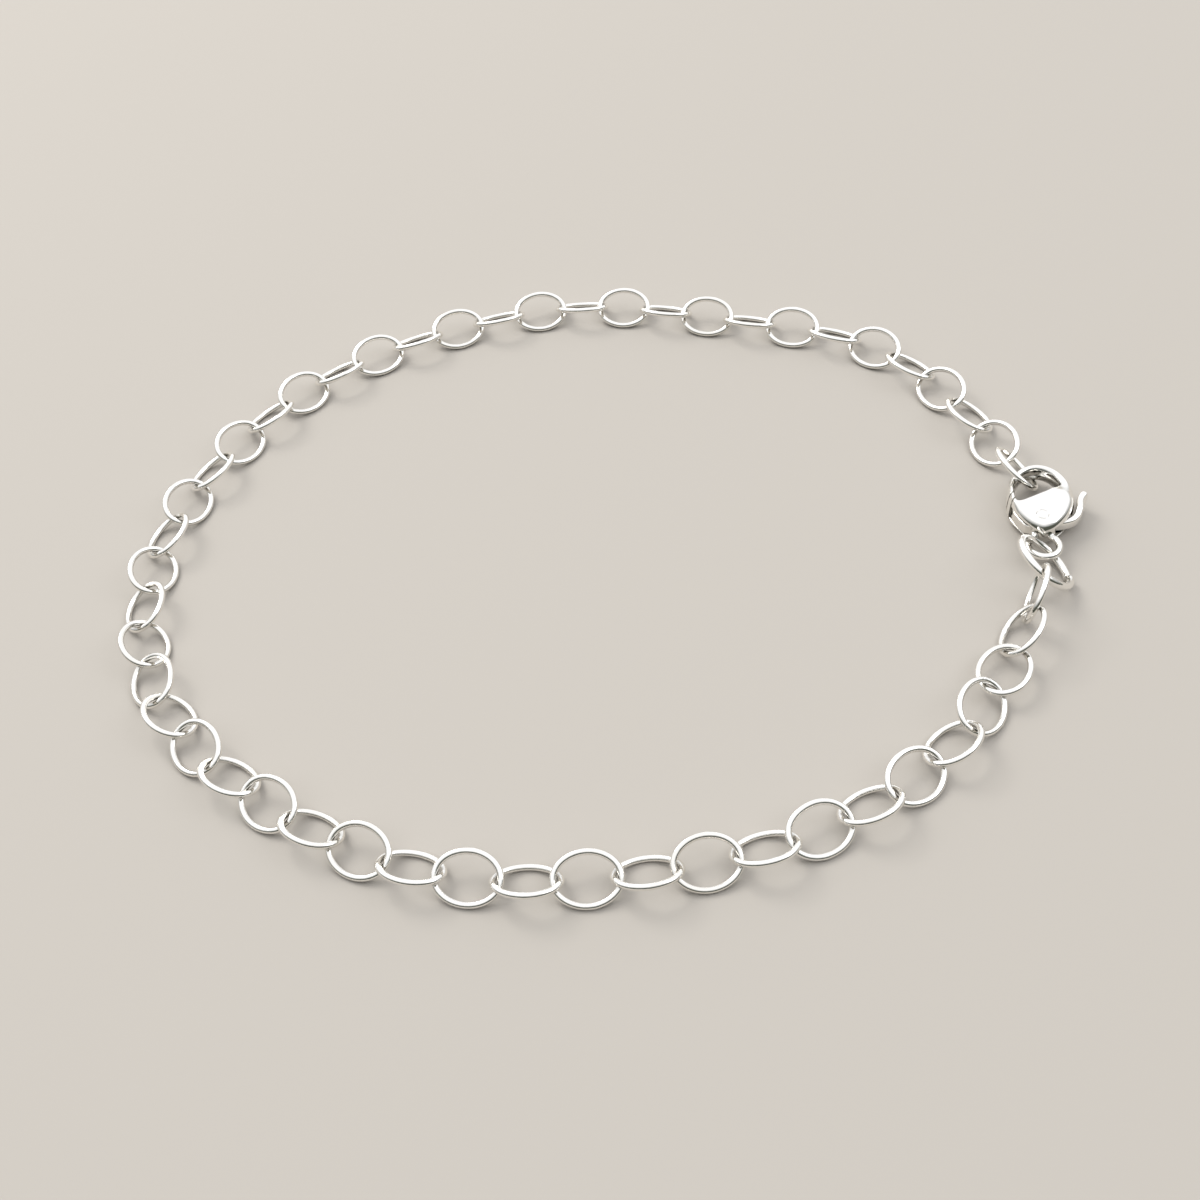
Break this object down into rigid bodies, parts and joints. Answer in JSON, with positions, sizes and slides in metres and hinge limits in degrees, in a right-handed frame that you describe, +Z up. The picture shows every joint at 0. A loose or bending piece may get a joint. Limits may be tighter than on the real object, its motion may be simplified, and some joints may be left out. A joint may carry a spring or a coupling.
{
  "type": "charm bracelet",
  "caption": "Polished silver oval cable-link bracelet lying closed in a loop, with a jump ring and a lobster clasp that opens by its thumb tab.",
  "frame": {"origin": "on the table, in the middle of the bracelet's footprint", "axes": "+Z up from the table, +X to the clasp's side of the loop, +Y to the far side, away from the viewer of the picture"},
  "size_m": [0.0674, 0.0572, 0.0035],
  "materials": {
    "chain_silver": "polished sterling silver wire, tumbled",
    "ring_silver": "polished sterling silver wire",
    "clasp_silver": "mirror-polished cast sterling silver",
    "lever_silver": "mirror-polished cast sterling silver",
    "pin_silver": "polished sterling silver pin, filed flush"
  },
  "bodies": {
    "bracelet": {"clasp_body": "clasp_silver", "clasp_pin": "pin_silver", "jump_ring": "ring_silver", "link_01": "chain_silver", "link_02": "chain_silver", "link_03": "chain_silver", "link_04": "chain_silver", "link_05": "chain_silver", "link_06": "chain_silver", "link_07": "chain_silver", "link_08": "chain_silver", "link_09": "chain_silver", "link_10": "chain_silver", "link_11": "chain_silver", "link_12": "chain_silver", "link_13": "chain_silver", "link_14": "chain_silver", "link_15": "chain_silver", "link_16": "chain_silver", "link_17": "chain_silver", "link_18": "chain_silver", "link_19": "chain_silver", "link_20": "chain_silver", "link_21": "chain_silver", "link_22": "chain_silver", "link_23": "chain_silver", "link_24": "chain_silver", "link_25": "chain_silver", "link_26": "chain_silver", "link_27": "chain_silver", "link_28": "chain_silver", "link_29": "chain_silver", "link_30": "chain_silver", "link_31": "chain_silver", "link_32": "chain_silver", "link_33": "chain_silver", "link_34": "chain_silver", "link_35": "chain_silver", "link_36": "chain_silver", "link_37": "chain_silver", "link_38": "chain_silver", "link_39": "chain_silver", "link_40": "chain_silver", "link_41": "chain_silver", "link_42": "chain_silver", "link_43": "chain_silver", "link_44": "chain_silver", "link_45": "chain_silver", "link_46": "chain_silver", "link_47": "chain_silver", "link_48": "chain_silver", "link_49": "chain_silver", "link_50": "chain_silver"},
    "lever": {"clasp_lever": "lever_silver"}
  },
  "joints": [
    {"name": "lever_pivot", "type": "hinge", "parent": "bracelet", "child": "lever", "pos_m": [0.02974, -0.00302, 0.0011], "axis": [0, 0, -1], "range_deg": [0, 20], "stiffness_Nm_per_rad": 0.004, "springref_deg": -8.59}
  ]
}
